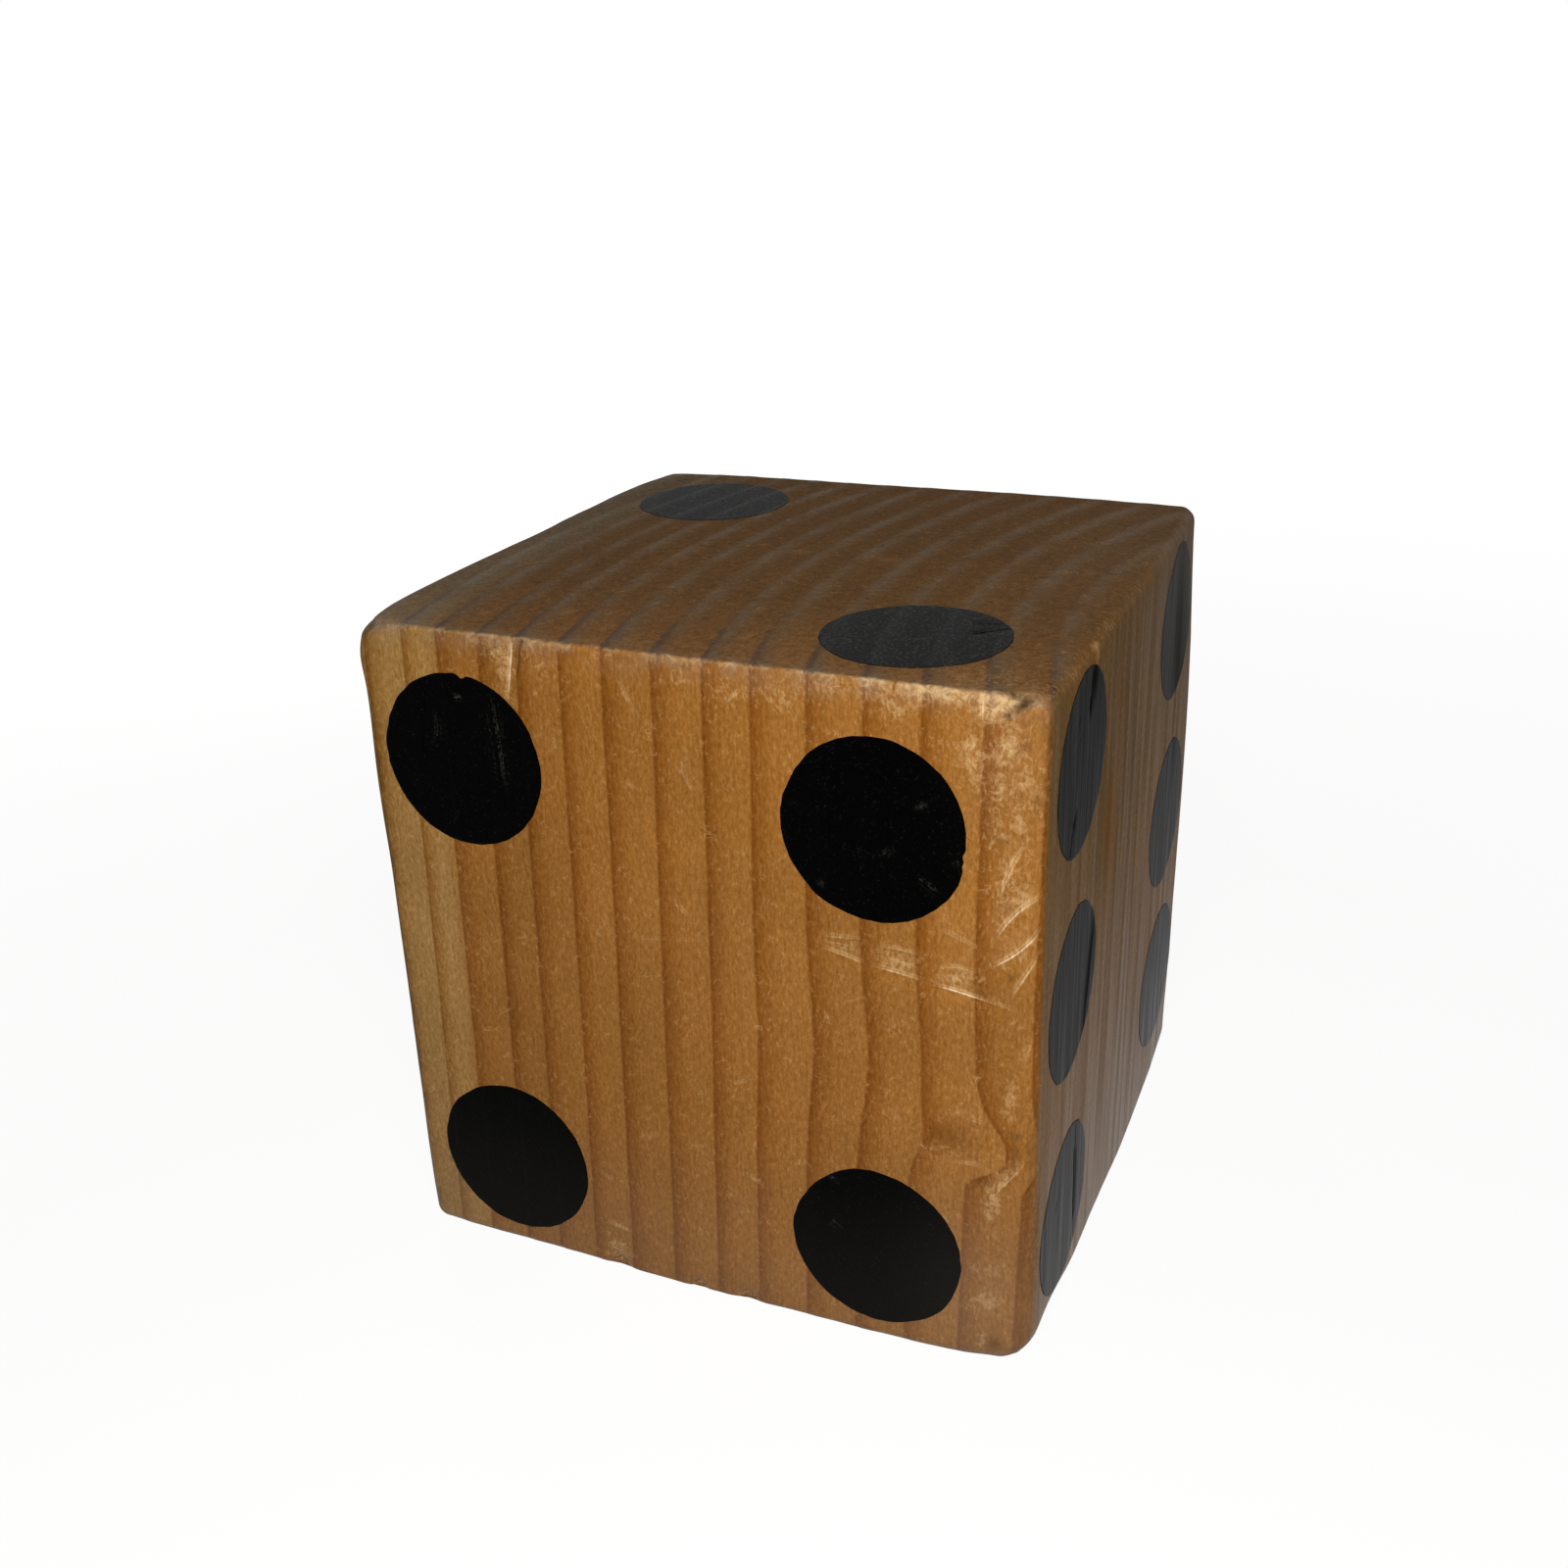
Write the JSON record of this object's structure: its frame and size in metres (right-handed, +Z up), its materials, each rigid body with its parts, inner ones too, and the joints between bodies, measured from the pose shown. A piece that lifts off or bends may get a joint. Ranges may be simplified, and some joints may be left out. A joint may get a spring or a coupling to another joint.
{
  "type": "wooden die",
  "caption": "Large solid softwood throwing die with eased, worn edges and round black painted pips on every face; rests on any flat side.",
  "frame": {"origin": "middle of the base, on the surface the die stands on", "axes": "+Z up along the grain; the four-pip face looks to -Y, the two-pip face up and the six-pip face to +X"},
  "size_m": [0.0864, 0.0834, 0.089],
  "materials": {
    "varnished_softwood": "worn clear varnish, satin",
    "black_paint": "brushed on black paint, matte"
  },
  "bodies": {
    "root": {"block": "varnished_softwood", "pip_one": "black_paint", "pip_two_back_left": "black_paint", "pip_two_front_right": "black_paint", "pip_three_upper_left": "black_paint", "pip_three_middle": "black_paint", "pip_three_lower_right": "black_paint", "pip_four_upper_left": "black_paint", "pip_four_upper_right": "black_paint", "pip_four_lower_left": "black_paint", "pip_four_lower_right": "black_paint", "pip_five_front_left": "black_paint", "pip_five_front_right": "black_paint", "pip_five_middle": "black_paint", "pip_five_back_left": "black_paint", "pip_five_back_right": "black_paint", "pip_six_front_upper": "black_paint", "pip_six_front_middle": "black_paint", "pip_six_front_lower": "black_paint", "pip_six_back_upper": "black_paint", "pip_six_back_middle": "black_paint", "pip_six_back_lower": "black_paint"}
  },
  "joints": []
}
